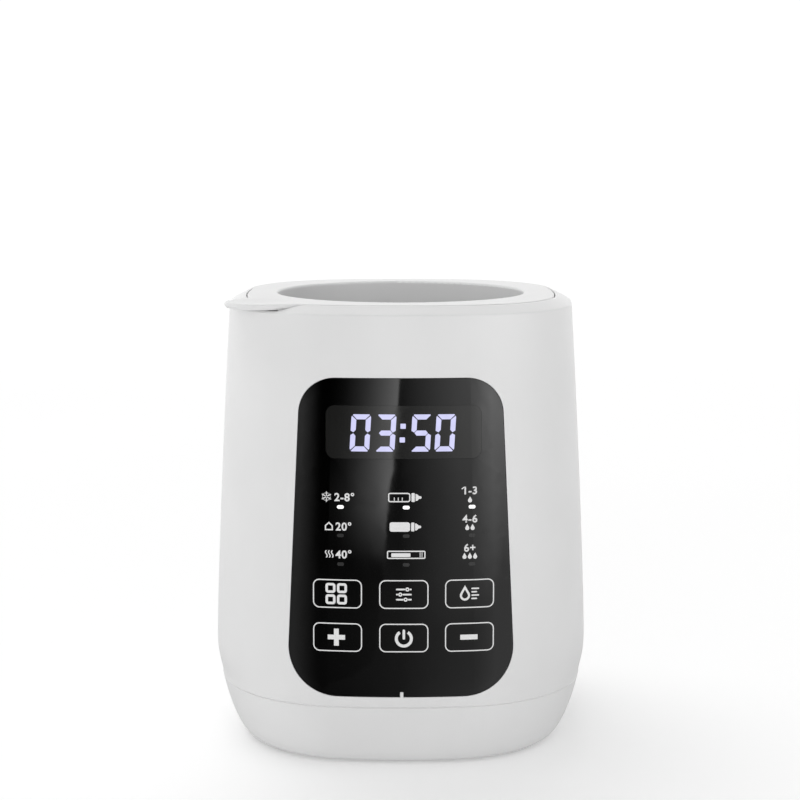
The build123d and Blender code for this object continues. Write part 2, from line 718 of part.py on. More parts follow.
def make_transformer_coil():
    """The taped winding and the two skirts of its bobbin."""
    x, y = TRANSFORMER_AT
    coil = block(x, y, PCB_TOP + 7.2, 14.6, 19.0, 7.1, 2.0)
    coil -= block(x, y, PCB_TOP + 7.0, 5.2, 6.7, 8.0)
    for side in (-6.0, 6.0):
        coil += block(x, y + side, PCB_TOP, 18.0, 3.0, 8.0)
    return coil


def make_bulk_capacitor():
    radius, height = CAPACITOR
    can = rod(radius, *CAPACITOR_AT, PCB_TOP, PCB_TOP + height)
    can = fillet(upper_edges(can), 0.8)
    return can - Pos(*CAPACITOR_AT, PCB_TOP + 2.5) * Torus(radius + 0.3, 0.7)


def make_film_capacitor():
    case = block(*FILM_AT, PCB_TOP, 18.0, 7.5, 13.0, 0.6)
    return fillet(upper_edges(case), 0.6)


def make_fuse():
    return Pos(*FUSE_AT, FUSE_Z) * Cylinder(FUSE_R, FUSE_LENGTH, rotation=(0, 90, 0))


def make_fuse_clips():
    middle, y = FUSE_AT
    clips = []
    for x in (middle - 8.0, middle + 8.0):
        clip = block(x, y, PCB_TOP, *CLIP)
        clip -= Pos(x, y, FUSE_Z) * Cylinder(FUSE_R + 0.05, 9.0, rotation=(0, 90, 0))
        clips.append(clip - block(x, y, FUSE_Z, 6.0, 3.6, 4.0))
    return clips


def make_terminal_block():
    body = block(0, TERMINAL_Y, PCB_TOP, 21.0, 9.5, 11.0, 0.4)
    for x in TERMINAL_X:
        body -= rod(2.0, x, TERMINAL_Y, TERMINAL_SCREW_Z, PCB_TOP + 12.0)
        body -= Pos(x, TERMINAL_Y + 5.0, PCB_TOP + 3.6) * Box(4.2, 6.0, 4.2)
    return body


def make_terminal_screws():
    return [rod(1.9, x, TERMINAL_Y, TERMINAL_SCREW_Z, TERMINAL_SCREW_Z + 1.6) for x in TERMINAL_X]


def make_heater_tabs():
    return [block(x, y, PCB_TOP, *TAB_BLADE) for x, y in HEATER_PINS]


def make_heater_leads():
    leads = []
    low = PCB_TOP + TAB_BLADE[2]
    for x, y in HEATER_PINS:
        slack = (x - 2.4, y - 2.4, 25.0)
        points = [(x, y, low), (x, y, low + 3.0), slack, (x, y, 28.0), (x, y, PIN_LOW)]
        leads.append(lead(points, 1.4, 1.2))
    return leads


def make_sensor_header():
    return block(*SENSOR_HEADER_AT, PCB_TOP, 9.0, 6.0, HEADER_TOP - PCB_TOP, 0.5)


def make_sensor_lead():
    x, y = SENSOR_HEADER_AT
    end = PROBE_LENGTH / 2
    probe_end = [(PROBE_X, -end, PROBE_Z), (PROBE_X, -end - 3.0, PROBE_Z), (PROBE_X - 1.0, -12, 35.5)]
    points = [*probe_end, (x, y + 1, 33.0), (x, y, 27.0), (x, y, HEADER_TOP)]
    return lead(points, 1.6, 0.9)


def make_power_header():
    return block(*POWER_HEADER_AT, PCB_TOP, 16.0, 7.0, HEADER_TOP - PCB_TOP, 0.5)


def make_ribbon():
    """A flat cable from the display board's header to the power board's."""
    x, y = POWER_HEADER_AT
    head = on_board(Pos(0, -69.3, -BOARD_T - HEADER_T / 2) * Box(0.1, 0.1, 0.1)).center()
    points = [(x, head.Y, head.Z), (x, head.Y, 36.0), (x, y, 31.0), (x, y, HEADER_TOP)]
    path = FilletPolyline(*points, radius=5.0)
    start = Plane(origin=path @ 0, x_dir=(1, 0, 0), z_dir=path % 0)
    return sweep(start * Rectangle(12.0, 0.9), path=path)


def make_buzzer():
    radius, height = BUZZER
    case = rod(radius, *BUZZER_AT, PCB_TOP, PCB_TOP + height)
    case = fillet(upper_edges(case), 0.6)
    return case - rod(1.2, *BUZZER_AT, PCB_TOP + 6.0, PCB_TOP + height + LAP)


# ---------------------------------------------------------------- gland and plate
GLAND_NECK_R = 5.95
GLAND_FLANGE_R = 8.2
GLAND_INNER_R = 7.4
GLAND_INNER_T = 3.8
GLAND_FLANGE_T = 1.7


def make_gland():
    """A moulded bush whose groove grips the pad in the housing's rear wall."""
    seat = 0.05
    neck_end = -GLAND_WALL - 0.1
    profile = [
        (LEAD_R, neck_end - GLAND_INNER_T),
        (GLAND_INNER_R, neck_end - GLAND_INNER_T),
        (GLAND_INNER_R, neck_end),
        (GLAND_NECK_R, neck_end),
        (GLAND_NECK_R, seat),
        (GLAND_FLANGE_R, seat),
        (GLAND_FLANGE_R, GLAND_FLANGE_T - 0.8),
        (GLAND_INNER_R, GLAND_FLANGE_T),
        (LEAD_R, GLAND_FLANGE_T),
    ]
    section = make_face(Polyline(*profile, close=True))
    bush = revolve(Plane.XZ * section, Axis.Z, 360)
    return Pos(0, GLAND_SEAT, GLAND_Z) * Rot(-90, 0, 0) * bush


RATING_PLATE = (42.0, 24.0, 0.3)


def make_rating_plate():
    thickness = RATING_PLATE[2]
    return block(0, -20, FOOT_GAP - thickness, *RATING_PLATE, 2.0)


# ---------------------------------------------------------------- every node
def build():
    nodes["housing"] = make_housing()
    nodes["base_shell"] = make_base()
    nodes["rubber_feet"] = make_feet()
    nodes["base_screws"] = make_base_screws()
    nodes["rating_plate"] = make_rating_plate()
    nodes["cord_gland"] = make_gland()

    nodes["control_panel"] = make_panel()
    nodes["display_window"] = make_window()
    nodes["panel_seal"] = make_panel_seal()
    nodes["display_board"] = make_display_board()
    nodes["display_board_screws"] = make_board_screws()
    nodes["display_module"] = make_display_module()
    nodes["light_box"] = make_light_box()
    nodes["indicator_lamps"] = make_lamps()
    nodes["touch_pads"] = make_touch_pads()
    nodes["display_header"] = make_display_header()
    nodes["ribbon_cable"] = make_ribbon()

    nodes["bottle_basket"] = make_basket()
    nodes["water_tank"] = make_tank()
    nodes["tank_gasket"] = make_tank_gasket()
    nodes["tank_screws"] = make_tank_screws()
    nodes["heating_plate"] = make_heating_plate()
    nodes["plate_seal"] = make_plate_seal()
    nodes["heater_element"] = make_heater_element()
    nodes["clamp_ring"] = make_clamp_ring()
    nodes["clamp_nuts"] = make_clamp_nuts()
    nodes["thermostat"] = make_thermostat()
    nodes["thermostat_strap"] = make_strap()
    nodes["strap_screws"] = make_strap_screws()
    nodes["temperature_probe"] = probe_rod(PROBE_X)
    nodes["thermal_fuse"] = probe_rod(-PROBE_X)
    nodes["heater_leads"] = make_heater_leads()
    nodes["sensor_lead"] = make_sensor_lead()

    nodes["power_board"] = make_power_board()
    nodes["power_board_screws"] = make_power_board_screws()
    nodes["relay"] = make_relay()
    nodes["transformer_core"] = make_transformer_core()
    nodes["transformer_coil"] = make_transformer_coil()
    nodes["bulk_capacitor"] = make_bulk_capacitor()
    nodes["film_capacitor"] = make_film_capacitor()
    nodes["mains_fuse"] = make_fuse()
    nodes["fuse_clips"] = make_fuse_clips()
    nodes["terminal_block"] = make_terminal_block()
    nodes["terminal_screws"] = make_terminal_screws()
    nodes["heater_tabs"] = make_heater_tabs()
    nodes["sensor_header"] = make_sensor_header()
    nodes["power_header"] = make_power_header()
    nodes["buzzer"] = make_buzzer()


build()
os.makedirs("parts", exist_ok=True)
for name, shape in nodes.items():
    pieces = shape if isinstance(shape, list) else [shape]
    solids = [solid for piece in pieces for solid in piece.solids()]
    export_step(Compound(children=solids), f"parts/{name}.step")
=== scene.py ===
import math

import bmesh
import bpy
from mathutils import Matrix, Vector
from mathutils.bvhtree import BVHTree


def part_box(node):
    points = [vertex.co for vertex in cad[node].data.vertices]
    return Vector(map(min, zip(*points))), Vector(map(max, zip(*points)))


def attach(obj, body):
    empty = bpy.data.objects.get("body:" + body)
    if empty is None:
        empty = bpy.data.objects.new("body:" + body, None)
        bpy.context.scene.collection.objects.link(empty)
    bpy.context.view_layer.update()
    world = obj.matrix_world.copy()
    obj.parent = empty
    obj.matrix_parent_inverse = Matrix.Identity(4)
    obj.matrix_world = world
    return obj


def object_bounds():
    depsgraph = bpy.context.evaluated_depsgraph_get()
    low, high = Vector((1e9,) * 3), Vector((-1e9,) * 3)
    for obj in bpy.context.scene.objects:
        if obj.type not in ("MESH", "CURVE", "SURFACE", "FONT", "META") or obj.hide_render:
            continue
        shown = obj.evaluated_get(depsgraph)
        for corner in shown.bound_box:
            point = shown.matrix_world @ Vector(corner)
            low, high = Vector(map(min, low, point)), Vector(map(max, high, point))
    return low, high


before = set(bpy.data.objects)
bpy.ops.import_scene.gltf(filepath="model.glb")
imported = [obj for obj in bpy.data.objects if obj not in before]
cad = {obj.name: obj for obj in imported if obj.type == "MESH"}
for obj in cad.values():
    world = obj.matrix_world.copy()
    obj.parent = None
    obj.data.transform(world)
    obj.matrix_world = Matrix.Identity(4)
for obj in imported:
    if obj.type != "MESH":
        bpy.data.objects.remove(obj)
cad_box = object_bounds()
MM = 0.001


# ---------------------------------------------------------------- node helpers
def new_material(name):
    material = bpy.data.materials.new(name)
    material.use_nodes = True
    tree = material.node_tree
    tree.nodes.clear()
    output = tree.nodes.new("ShaderNodeOutputMaterial")
    shader = tree.nodes.new("ShaderNodeBsdfPrincipled")
    tree.links.new(shader.outputs["BSDF"], output.inputs["Surface"])
    return material, tree, shader


def noise(tree, scale, detail=2.0, stretch=(1.0, 1.0, 1.0)):
    """A noise field in the piece's own coordinates; scale is features per metre."""
    place = tree.nodes.new("ShaderNodeTexCoord")
    mapping = tree.nodes.new("ShaderNodeMapping")
    mapping.inputs["Scale"].default_value = stretch
    field = tree.nodes.new("ShaderNodeTexNoise")
    field.inputs["Scale"].default_value = scale
    field.inputs["Detail"].default_value = detail
    tree.links.new(place.outputs["Object"], mapping.inputs["Vector"])
    tree.links.new(mapping.outputs["Vector"], field.inputs["Vector"])
    return field.outputs["Fac"]


def ramp(tree, source, low, high, start=0.35, end=0.65):
    """Turns a field into a blend of two colours."""
    blend = tree.nodes.new("ShaderNodeValToRGB")
    blend.color_ramp.elements[0].position = start
    blend.color_ramp.elements[0].color = (*low, 1)
    blend.color_ramp.elements[1].position = end
    blend.color_ramp.elements[1].color = (*high, 1)
    tree.links.new(source, blend.inputs["Fac"])
    return blend.outputs["Color"]


def span(tree, source, low, high):
    """Turns a field into a number between two limits."""
    rescale = tree.nodes.new("ShaderNodeMapRange")
    rescale.inputs["From Min"].default_value = 0.3
    rescale.inputs["From Max"].default_value = 0.7
    rescale.inputs["To Min"].default_value = low
    rescale.inputs["To Max"].default_value = high
    tree.links.new(source, rescale.inputs["Value"])
    return rescale.outputs["Result"]


def bump(tree, shader, source, depth, strength=1.0):
    """Raises the surface by a field; depth is in metres."""
    raised = tree.nodes.new("ShaderNodeBump")
    raised.inputs["Strength"].default_value = strength
    raised.inputs["Distance"].default_value = depth
    tree.links.new(source, raised.inputs["Height"])
    tree.links.new(raised.outputs["Normal"], shader.inputs["Normal"])


def tint(colour, factor):
    return tuple(channel * factor for channel in colour)


# ---------------------------------------------------------------- materials
def plastic(name, colour, rough, grain=1400, depth=0.000012, mottle=30, vary=0.03, stretch=(1, 1, 1)):
    """Moulded plastic: faint clouds in its colour, an uneven sheen and a fine moulded grain."""
    material, tree, shader = new_material(name)
    clouds = noise(tree, mottle, 3, stretch)
    fine = noise(tree, grain, 2, stretch)
    tree.links.new(ramp(tree, clouds, tint(colour, 1 - vary), colour), shader.inputs["Base Color"])
    tree.links.new(span(tree, fine, rough * 0.88, rough * 1.12), shader.inputs["Roughness"])
    bump(tree, shader, fine, depth)
    return material, shader


def metal(name, colour, rough, stretch=(1, 1, 1), grain=900, depth=0.00001):
    """Metal with fine streaks along its working direction."""
    material, tree, shader = new_material(name)
    streaks = noise(tree, grain, 4, stretch)
    stains = noise(tree, 60, 3)
    tree.links.new(ramp(tree, stains, tint(colour, 0.86), colour), shader.inputs["Base Color"])
    tree.links.new(span(tree, streaks, rough * 0.75, rough * 1.25), shader.inputs["Roughness"])
    shader.inputs["Metallic"].default_value = 1.0
    bump(tree, shader, streaks, depth)
    return material, shader


PANEL_SHADES = (0.0004, 0.0009)
WINDOW_SHADES = ((0.0105, 0.0105, 0.0100), (0.0125, 0.0125, 0.0120))


def gloss_panel():
    """Back-painted black acrylic: deep gloss with the faintest ripple and polish marks."""
    material, tree, shader = new_material("panel_gloss_black")
    clouds = noise(tree, 25, 2)
    marks = noise(tree, 260, 4, (1, 1, 0.3))
    dark, light = [(shade, shade, shade) for shade in PANEL_SHADES]
    tree.links.new(ramp(tree, clouds, dark, light), shader.inputs["Base Color"])
    tree.links.new(span(tree, marks, 0.035, 0.06), shader.inputs["Roughness"])
    shader.inputs["IOR"].default_value = 1.5
    return material


def smoked_window():
    """The display window: a smoked tint a little lighter than the panel."""
    material, tree, shader = new_material("window_smoked")
    clouds = noise(tree, 40, 2)
    marks = noise(tree, 300, 3)
    tree.links.new(ramp(tree, clouds, *WINDOW_SHADES), shader.inputs["Base Color"])
    tree.links.new(span(tree, marks, 0.06, 0.10), shader.inputs["Roughness"])
    shader.inputs["IOR"].default_value = 1.48
    return material


def glow(name, colour, strength):
    """A lit mark: its light is a touch uneven, as a diffused lamp's is."""
    material, tree, shader = new_material(name)
    shader.inputs["Base Color"].default_value = (*tint(colour, 0.03), 1)
    shader.inputs["Roughness"].default_value = 0.2
    uneven = noise(tree, 350, 2)
    tree.links.new(ramp(tree, uneven, tint(colour, 0.93), colour), shader.inputs["Emission Color"])
    shader.inputs["Emission Strength"].default_value = strength
    return material


def ink(name, colour):
    """Screen-printed ink: slightly rough, with pinhole grain."""
    material, tree, shader = new_material(name)
    grain = noise(tree, 5000, 2)
    tree.links.new(ramp(tree, grain, tint(colour, 0.9), colour), shader.inputs["Base Color"])
    tree.links.new(span(tree, grain, 0.35, 0.5), shader.inputs["Roughness"])
    bump(tree, shader, grain, 0.000004)
    return material


def circuit_board():
    """Solder mask over faint copper tracks."""
    material, tree, shader = new_material("circuit_board")
    place = tree.nodes.new("ShaderNodeTexCoord")
    tracks = tree.nodes.new("ShaderNodeTexBrick")
    tracks.inputs["Scale"].default_value = 160
    tracks.inputs["Mortar Size"].default_value = 0.06
    tracks.inputs["Color1"].default_value = (0.010, 0.085, 0.035, 1)
    tracks.inputs["Color2"].default_value = (0.012, 0.10, 0.042, 1)
    tracks.inputs["Mortar"].default_value = (0.03, 0.19, 0.08, 1)
    tree.links.new(place.outputs["Object"], tracks.inputs["Vector"])
    tree.links.new(tracks.outputs["Color"], shader.inputs["Base Color"])
    fine = noise(tree, 800, 2)
    tree.links.new(span(tree, fine, 0.22, 0.34), shader.inputs["Roughness"])
    bump(tree, shader, tracks.outputs["Fac"], 0.00004)
    return material


def wound_tape():
    """Insulating tape wound round a coil, in level turns, its amber painted darker in the grooves between
    the turns as shade.
    """
    material, tree, shader = new_material("coil_tape")
    place = tree.nodes.new("ShaderNodeTexCoord")
    turns = tree.nodes.new("ShaderNodeTexWave")
    turns.bands_direction = "Z"
    turns.inputs["Scale"].default_value = 260
    turns.inputs["Distortion"].default_value = 0.4
    tree.links.new(place.outputs["Object"], turns.inputs["Vector"])
    # painted shade: the amber darkens in the grooves between turns, where the bump below sinks the surface
    colour_and_painted_groove_shade = ramp(tree, turns.outputs["Fac"], (0.62, 0.40, 0.05), (0.80, 0.56, 0.10))
    tree.links.new(colour_and_painted_groove_shade, shader.inputs["Base Color"])
    shader.inputs["Roughness"].default_value = 0.32
    bump(tree, shader, turns.outputs["Fac"], 0.00008)
    return material


def ribbon_wires():
    """Flat cable: parallel cores under grey insulation, its grey painted lighter on the cores and darker
    in the grooves between them, as highlight and shade.
    """
    material, tree, shader = new_material("ribbon_wires")
    place = tree.nodes.new("ShaderNodeTexCoord")
    cores = tree.nodes.new("ShaderNodeTexWave")
    cores.bands_direction = "X"
    cores.inputs["Scale"].default_value = 250
    tree.links.new(place.outputs["Object"], cores.inputs["Vector"])
    # painted highlight and shade: the grey is lighter on the raised cores and darker in the grooves
    # between them
    colour_and_painted_groove_shade = ramp(tree, cores.outputs["Fac"], (0.30, 0.31, 0.33), (0.42, 0.43, 0.45))
    tree.links.new(colour_and_painted_groove_shade, shader.inputs["Base Color"])
    shader.inputs["Roughness"].default_value = 0.5
    bump(tree, shader, cores.outputs["Fac"], 0.0002)
    return material


def clear_part(name, colour, rough):
    """A translucent moulding, such as a lamp body or a fuse tube."""
    material, shader = plastic(name, colour, rough, grain=700)
    shader.inputs["Transmission Weight"].default_value = 0.55
    shader.inputs["IOR"].default_value = 1.5
    return material


def make_materials():
    """The finish of every material slot in the record."""
    lamp = clear_part("lamp_clear", (0.85, 0.87, 0.9), 0.2)
    fuse = clear_part("fuse_glass", (0.82, 0.88, 0.88), 0.08)
    made = {
        "panel_black": gloss_panel(),
        "window_smoke": smoked_window(),
        "pcb": circuit_board(),
        "copper_tape": wound_tape(),
        "ribbon_grey": ribbon_wires(),
        "lamp_clear": lamp,
        "fuse_glass": fuse,
    }
    plastics = {
        "shell_white": ((0.735, 0.735, 0.735), 0.36),
        "basket_white": ((0.745, 0.745, 0.745), 0.40),
        "tank_white": ((0.74, 0.75, 0.75), 0.45),
        "rubber_grey": ((0.22, 0.22, 0.23), 0.72),
        "silicone": ((0.72, 0.74, 0.74), 0.55),
        "foam_seal": ((0.035, 0.035, 0.037), 0.9),
        "pad_grey": ((0.12, 0.12, 0.125), 0.85),
        "module_grey": ((0.10, 0.10, 0.11), 0.5),
        "light_box_white": ((0.78, 0.78, 0.76), 0.5),
        "connector": ((0.80, 0.76, 0.66), 0.42),
        "phenolic": ((0.035, 0.033, 0.032), 0.45),
        "wire_white": ((0.72, 0.71, 0.68), 0.48),
        "wire_black": ((0.02, 0.02, 0.02), 0.42),
        "relay_blue": ((0.02, 0.11, 0.42), 0.32),
        "ferrite": ((0.045, 0.043, 0.042), 0.6),
        "capacitor_sleeve": ((0.02, 0.035, 0.09), 0.3),
        "film_yellow": ((0.75, 0.52, 0.05), 0.38),
        "terminal_green": ((0.03, 0.30, 0.12), 0.42),
    }
    for slot, (colour, rough) in plastics.items():
        made[slot] = plastic(slot, colour, rough)[0]
    metals = {
        "steel": ((0.60, 0.60, 0.61), 0.32, (1, 1, 1)),
        "aluminium": ((0.78, 0.78, 0.79), 0.38, (1, 1, 0.1)),
        "tinned": ((0.74, 0.74, 0.73), 0.26, (1, 1, 1)),
        "label_silver": ((0.66, 0.66, 0.67), 0.42, (0.05, 1, 1)),
    }
    for slot, (colour, rough, stretch) in metals.items():
        made[slot] = metal(slot, colour, rough, stretch)[0]
    return made


def dress_nodes(made):
    for node in cad.values():
        for place in node.material_slots:
            place.material = made[place.material.name.split(".")[0]]


# ---------------------------------------------------------------- drawing on the front
class Front:
    """The panel and window as one surface that flat drawings are laid on."""

    def __init__(self, *names):
        points, faces = [], []
        for name in names:
            mesh = cad[name].data
            start = len(points)
            points += [vertex.co.copy() for vertex in mesh.vertices]
            faces += [[start + index for index in face.vertices] for face in mesh.polygons]
        self.tree = BVHTree.FromPolygons(points, faces)
        self.outside = cad_box[0].y - 0.05

    def place(self, x, z, lift):
        """The point of the surface at x and z, in millimetres, raised by lift."""
        start = Vector((x * MM, self.outside, z * MM))
        hit = self.tree.ray_cast(start, Vector((0, 1, 0)))[0]
        return hit - Vector((0, lift * MM, 0))


def ring(points, width):
    """A closed line of one width, as its outer and inner outlines."""
    return offset(points, width / 2), offset(points, -width / 2)


def offset(points, distance):
    """A closed outline, anticlockwise, moved out along its mitres."""
    moved = []
    count = len(points)
    for index, here in enumerate(points):
        before = Vector(here) - Vector(points[index - 1])
        after = Vector(points[(index + 1) % count]) - Vector(here)
        sides = [Vector((edge.y, -edge.x)).normalized() for edge in (before, after)]
        mitre = (sides[0] + sides[1]).normalized()
        moved.append(Vector(here) + mitre * distance / max(0.3, mitre.dot(sides[0])))
    return moved


def arc(x, z, radius, start, end, steps=8):
    """Points along an arc, angles in degrees."""
    angles = [math.radians(start + (end - start) * step / steps) for step in range(steps + 1)]
    return [(x + radius * math.cos(angle), z + radius * math.sin(angle)) for angle in angles]


def round_box(x, z, width, height, radius, steps=6):
    """A rectangle with round corners, anticlockwise from its lower right."""
    reach_x, reach_z = width / 2 - radius, height / 2 - radius
    right = ((reach_x, -reach_z, -90), (reach_x, reach_z, 0))
    left = ((-reach_x, reach_z, 90), (-reach_x, -reach_z, 180))
    points = []
    for side_x, side_z, start in right + left:
        points += arc(x + side_x, z + side_z, radius, start, start + 90, steps)
    return points


def bar(start, end, width, steps=5):
    """A straight stroke with round ends."""
    along = Vector(end) - Vector(start)
    turn = math.degrees(math.atan2(along.y, along.x))
    points = arc(*end, width / 2, turn - 90, turn + 90, steps)
    return points + arc(*start, width / 2, turn + 90, turn + 270, steps)


NUMERAL_CAP = 0.72  # height of a numeral in a text of size one
NUMERAL_BOLD = 0.026  # how far its outline is pushed out
NUMERAL_SPACING = 1.08
LONGEST_EDGE = 1.2  # longer edges are cut, so that a film follows the curve of the front
SINK = 0.05  # how far a film's back lies inside the front


class Drawing:
    """Flat shapes in the front view, laid on the front as one thin film."""

    def __init__(self):
        self.mesh = bmesh.new()

    def fill(self, points):
        corners = [self.mesh.verts.new((p[0], p[1], 0)) for p in points]
        self.mesh.faces.new(corners)

    def line(self, points, width):
        """A closed line, as a strip of quads."""
        outer, inner = ring(points, width)
        outside = [self.mesh.verts.new((*p, 0)) for p in outer]
        inside = [self.mesh.verts.new((*p, 0)) for p in inner]
        for index in range(len(points)):
            self.mesh.faces.new((outside[index - 1], outside[index], inside[index], inside[index - 1]))

    def numbers(self, body, x, z, height):
        """Plain numerals, centred."""
        curve = bpy.data.curves.new("numerals", "FONT")
        curve.body = body
        curve.align_x = "CENTER"
        curve.offset = NUMERAL_BOLD
        curve.space_character = NUMERAL_SPACING
        writer = bpy.data.objects.new("numerals", curve)
        bpy.context.scene.collection.objects.link(writer)
        written = writer.evaluated_get(bpy.context.evaluated_depsgraph_get())
        flat = bpy.data.meshes.new_from_object(written)
        size = height / NUMERAL_CAP
        flat.transform(Matrix.Translation((x, z - height / 2, 0)) @ Matrix.Diagonal((size, size, size, 1)))
        self.mesh.from_mesh(flat)
        bpy.data.objects.remove(writer)
        bpy.data.curves.remove(curve)
        bpy.data.meshes.remove(flat)

    def lay(self, name, surface, lift, material):
        """Cuts the shapes fine, drops them on the surface and makes the piece."""
        grid = self.mesh
        bmesh.ops.remove_doubles(grid, verts=grid.verts, dist=1e-4)
        bmesh.ops.triangulate(grid, faces=[face for face in grid.faces if len(face.verts) > 4])
        long_edges = [edge for edge in grid.edges if edge.calc_length() > LONGEST_EDGE]
        bmesh.ops.subdivide_edges(grid, edges=long_edges, cuts=2)
        for vertex in grid.verts:
            vertex.co = surface.place(vertex.co.x, vertex.co.y, lift)
        film = bmesh.ops.extrude_face_region(grid, geom=list(grid.faces))
        for item in film["geom"]:
            if isinstance(item, bmesh.types.BMVert):
                item.co.y += (lift + SINK) * MM
        bmesh.ops.recalc_face_normals(grid, faces=list(grid.faces))
        mesh = bpy.data.meshes.new(name)
        grid.to_mesh(mesh)
        grid.free()
        return add_piece(name, mesh, material)


def add_piece(name, mesh, material, body="warmer"):
    piece = bpy.data.objects.new(name, mesh)
    bpy.context.scene.collection.objects.link(piece)
    mesh.materials.append(material)
    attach(piece, body)
    return piece


# ---------------------------------------------------------------- display digits
DIGIT_SIZE = (6.6, 12.5)
DIGIT_X = (-13.6, -5.1, 6.8, 14.9)
SEGMENT = 1.7
SEGMENT_GAP = 0.09
SLANT = math.tan(math.radians(3.5))
SEGMENTS_OF = {0: "abcdef", 3: "abcdg", 5: "acdfg"}
SHOWN_DIGITS = (0, 3, 5, 0)
COLON_X = 0.6
COLON_DOTS = (2.3, -2.3)
COLON_DOT = (1.8, 1.7)
DIGIT_LIFT = 0.12  # how far the film of digits stands off the front
DIGIT_DROP = 0.2  # how far the digits sit below the window's middle


def segment_outlines():
    """The seven segments of a digit about its centre: mitred at the corners, pointed at the middle."""
    half_w, half_h = DIGIT_SIZE[0] / 2, DIGIT_SIZE[1] / 2
    thick, gap = SEGMENT, SEGMENT_GAP
    top = [
        (-half_w + 0.55 + gap, half_h),
        (-half_w + 0.35 + gap, half_h - 0.25),
        (-half_w + thick + gap * 2, half_h - thick),
        (half_w - thick - gap * 2, half_h - thick),
        (half_w - 0.35 - gap, half_h - 0.25),
        (half_w - 0.55 - gap, half_h),
    ]
    upper_right = [
        (half_w - 0.2, half_h - 0.45 - gap),
        (half_w - thick, half_h - thick - gap * 2),
        (half_w - thick, thick / 2 + gap * 2),
        (half_w - thick * 0.55, gap * 2.2),
        (half_w, 0.75),
        (half_w, half_h - 1.0),
    ]
    middle = [
        (-half_w + thick * 0.62, 0),
        (-half_w + thick + gap, -thick / 2),
        (half_w - thick - gap, -thick / 2),
        (half_w - thick * 0.62, 0),
        (half_w - thick - gap, thick / 2),
        (-half_w + thick + gap, thick / 2),
    ]

    def flip(points, side_x, side_z):
        turned = [(side_x * x, side_z * z) for x, z in points]
        return turned if side_x * side_z > 0 else turned[::-1]

    return {
        "a": top,
        "b": upper_right[::-1],
        "c": flip(upper_right[::-1], 1, -1),
        "d": flip(top, 1, -1),
        "e": flip(upper_right[::-1], -1, -1),
        "f": flip(upper_right[::-1], -1, 1),
        "g": middle,
    }


def make_digits(surface, material, centre_z):
    outlines = segment_outlines()
    drawing = Drawing()
    for number, x in zip(SHOWN_DIGITS, DIGIT_X):
        for letter in SEGMENTS_OF[number]:
            drawing.fill([(x + px + pz * SLANT, centre_z + pz) for px, pz in outlines[letter]])
    for z in COLON_DOTS:
        drawing.fill(round_box(COLON_X + z * SLANT, centre_z + z, *COLON_DOT, 0.2, 2))
    drawing.lay("display_digits", surface, DIGIT_LIFT, material)


# ---------------------------------------------------------------- lamps and print
LAMP_X = (-20.4, 1.8, 24.0)
LAMP_Z = (92.7, 83.0, 73.2)
KEY_X = (-21.5, 1.0, 23.3)
KEY_Z = (63.0, 48.0)
KEY_SIZE = (16.3, 9.5)
LAMP_MARK = (2.3, 1.2)
LABEL_Z = (96.1, 86.1, 76.6)
AMOUNT_Z = (98.3, 88.7, 78.8)
DROP_Z = (95.2, 85.8, 76.0)
LABEL_CAP = 2.7
AMOUNT_CAP = 2.6
DROP_HEIGHT = 2.1
DROP_PITCH = 1.8
LAMP_LIFT = 0.09
PRINT_LIFT = 0.08
FRAME_RADIUS = 2.0
FRAME_LINE = 0.38


def make_lamp_marks(surface, lit, unlit):
    for row, z in enumerate(LAMP_Z):
        drawing = Drawing()
        for x in LAMP_X:
            drawing.fill(round_box(x, z, *LAMP_MARK, LAMP_MARK[1] / 2 - 0.01))
        name = "lamp_marks_" + ("top", "middle", "bottom")[row]
        drawing.lay(name, surface, LAMP_LIFT, lit if row == 0 else unlit)


def snowflake(drawing, x, z, reach):
    middle = Vector((x, z))
    for step in range(6):
        angle = math.radians(60 * step + 30)
        out = Vector((math.cos(angle), math.sin(angle)))
        drawing.fill(bar(middle + out * 0.38, middle + out * reach, 0.29, 3))
        for side in (-1, 1):
            twig = angle + math.radians(60 * side)
            along = Vector((math.cos(twig), math.sin(twig)))
            start = middle + out * reach * 0.60 + along * 0.34
            drawing.fill(bar(start, start + along * 0.22, 0.21, 3))


def house(drawing, x, z):
    outline = [(-1.15, -1.2), (1.15, -1.2), (1.15, 0.15), (0, 1.2), (-1.15, 0.15)]
    drawing.line([(x + px, z + pz) for px, pz in outline], 0.42)


def heat_waves(drawing, x, z):
    """Three rising wavy lines."""
    for shift in (-1.0, 0.0, 1.0):
        left, right = [], []
        for step in range(13):
            height = -1.25 + 2.5 * step / 12
            sway = 0.28 * math.sin(step / 12 * 2 * math.pi)
            left.append((x + shift + sway - 0.2, z + height))
            right.append((x + shift + sway + 0.2, z + height))
        drawing.fill(right + left[::-1])


def lying_bottle(drawing, x, z, length, filled):
    """A feeding bottle on its side, teat to the right."""
    half, shoulder, heel = 1.6, 1.0, 0.7
    start = x - length / 2
    neck = start + length * 0.62
    shape = arc(neck - shoulder, z - half + shoulder, shoulder, -90, -20, 4)
    shape += arc(neck - shoulder, z + half - shoulder, shoulder, 20, 90, 4)
    shape += arc(start + heel, z + half - heel, heel, 90, 180, 4)
    shape += arc(start + heel, z - half + heel, heel, 180, 270, 4)
    if filled:
        drawing.fill(shape)
    else:
        drawing.line(offset(shape, -0.2), 0.4)
        for tick in range(3):
            across = start + length * (0.17 + 0.11 * tick)
            drawing.fill(bar((across, z - 1.0), (across, z - 0.1), 0.28, 3))
    drawing.fill(round_box(neck + 0.85, z, 1.1, 3.0, 0.25, 3))
    dome = neck + 1.65
    teat = arc(dome, z, 1.2, -90, -28, 5)
    teat += arc(dome + 1.6, z, 0.44, -100, 100, 8)
    teat += arc(dome, z, 1.2, 28, 90, 5)
    drawing.fill(teat)


